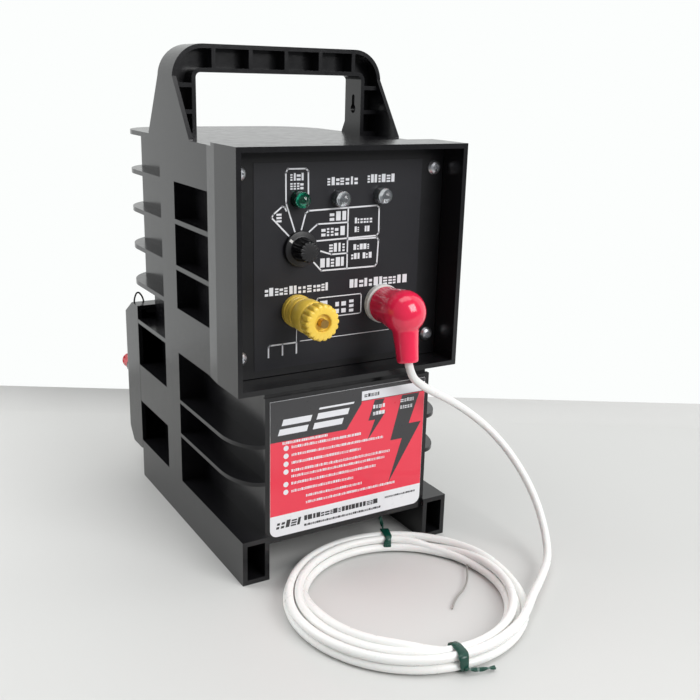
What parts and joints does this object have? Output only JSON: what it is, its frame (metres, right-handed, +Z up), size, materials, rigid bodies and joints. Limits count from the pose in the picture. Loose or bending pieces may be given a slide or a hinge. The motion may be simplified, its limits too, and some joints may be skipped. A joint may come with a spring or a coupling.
{
  "type": "fence energizer",
  "caption": "Portable battery electric-fence energizer: ribbed carrying case with handle, hooded control panel, earth binding post, plug-on output lead and hinged rear battery cover.",
  "frame": {"origin": "centre of the bottom of the box round the energizer without its lead, on the floor that the foot rails rest on", "axes": "+X to the right as seen from the control panel side, +Y from the control panel to the battery cover, +Z up"},
  "size_m": [0.19, 0.3758, 0.309],
  "materials": {
    "case_plastic": "glossy moulded charcoal ABS",
    "panel_plastic": "fine-grained black moulding",
    "overlay_print": "matt black printed film with white legends",
    "label_print": "laminated printed label, red, black and white",
    "zinc_steel": "bright zinc-plated steel",
    "steel": "bright plated steel",
    "brass": "plain turned brass",
    "green_lens": "translucent green lamp lens",
    "clear_lens": "clear moulded lens",
    "knob_plastic": "black moulded knob",
    "white_plastic": "white moulded plastic",
    "yellow_plastic": "yellow moulded plastic",
    "red_rubber": "glossy red soft PVC",
    "red_plastic": "red moulded plastic",
    "white_pvc": "smooth white PVC insulation",
    "bare_wire": "tinned stranded wire",
    "tie_vinyl": "dark green vinyl twist tie",
    "black_wire": "black coated wire",
    "foam": "black foam strip",
    "board_laminate": "green glass-epoxy board",
    "ferrite": "grey laminated core",
    "copper_winding": "enamelled copper winding in tape",
    "capacitor_sleeve": "blue sleeve",
    "black_resin": "black moulded resin",
    "aluminium": "plain aluminium",
    "tray_plastic": "grey-black moulded tray",
    "cell_can": "sleeved dry cell"
  },
  "bodies": {
    "case": {"front_shell": "case_plastic", "rear_shell": "case_plastic", "front_label": "label_print", "control_panel": "panel_plastic", "panel_overlay": "overlay_print", "panel_screws": "zinc_steel", "check_lamp_lens": "green_lens", "light_sensor_window": "clear_lens", "output_lamp_lens": "clear_lens", "selector_bush": "brass", "selector_switch": "black_resin", "earth_collar": "yellow_plastic", "earth_stud": "brass", "output_ring": "white_plastic", "output_stud": "brass", "terminal_nuts": "brass", "cover_hinge_pins": "steel", "battery_tray": "tray_plastic", "battery_cells": "cell_can", "contact_springs": "zinc_steel", "contact_straps": "zinc_steel", "circuit_board": "board_laminate", "board_posts": "black_resin", "transformer_core": "ferrite", "transformer_winding": "copper_winding", "storage_capacitor": "capacitor_sleeve", "thyristor": "black_resin", "heat_sink": "aluminium"},
    "selector": {"selector_knob": "knob_plastic", "selector_pointer": "white_plastic", "selector_shaft": "steel"},
    "earth_clamp": {"earth_washer": "brass"},
    "earth_screw_knob": {"earth_knob": "yellow_plastic"},
    "output_lead": {"output_boot": "red_rubber", "plug_contact": "brass", "cord_lead": "white_pvc", "cord_coil": "white_pvc", "cord_conductor": "bare_wire", "tie_rear": "tie_vinyl", "tie_front": "tie_vinyl"},
    "battery_cover": {"rear_cover": "case_plastic", "cover_seal": "foam", "cover_pull_loop": "black_wire"},
    "latch_left": {"latch_knob_left": "red_plastic", "latch_cam_left": "zinc_steel"},
    "latch_right": {"latch_knob_right": "red_plastic", "latch_cam_right": "zinc_steel"}
  },
  "joints": [
    {"name": "selector_turn", "type": "hinge", "parent": "case", "child": "selector", "pos_m": [-0.027, -0.09025, 0.1965], "axis": [0, 1, 0], "range_deg": [0, 150]},
    {"name": "earth_clamp_travel", "type": "slide", "parent": "case", "child": "earth_clamp", "axis": [0, -1, 0], "range_m": [0, 0.004]},
    {"name": "earth_knob_turn", "type": "hinge", "parent": "earth_clamp", "child": "earth_screw_knob", "pos_m": [-0.0289, -0.11025, 0.16], "axis": [0, -1, 0], "range_deg": [0, 1800]},
    {"name": "output_plug_pull", "type": "slide", "parent": "case", "child": "output_lead", "axis": [0, -1, 0], "range_m": [0, 0.025]},
    {"name": "cover_hinge", "type": "hinge", "parent": "case", "child": "battery_cover", "pos_m": [0, 0.07385, 0.0237], "axis": [-1, 0, 0], "range_deg": [0, 60]},
    {"name": "latch_left_turn", "type": "hinge", "parent": "battery_cover", "child": "latch_left", "pos_m": [-0.0655, 0.10675, 0.076], "axis": [0, 1, 0], "range_deg": [0, 90]},
    {"name": "latch_right_turn", "type": "hinge", "parent": "battery_cover", "child": "latch_right", "pos_m": [0.0655, 0.10675, 0.076], "axis": [0, -1, 0], "range_deg": [0, 90]}
  ],
  "couplings": [
    {"joint": "earth_knob_turn", "follows": "earth_clamp_travel", "rad_per_m": 7854}
  ]
}
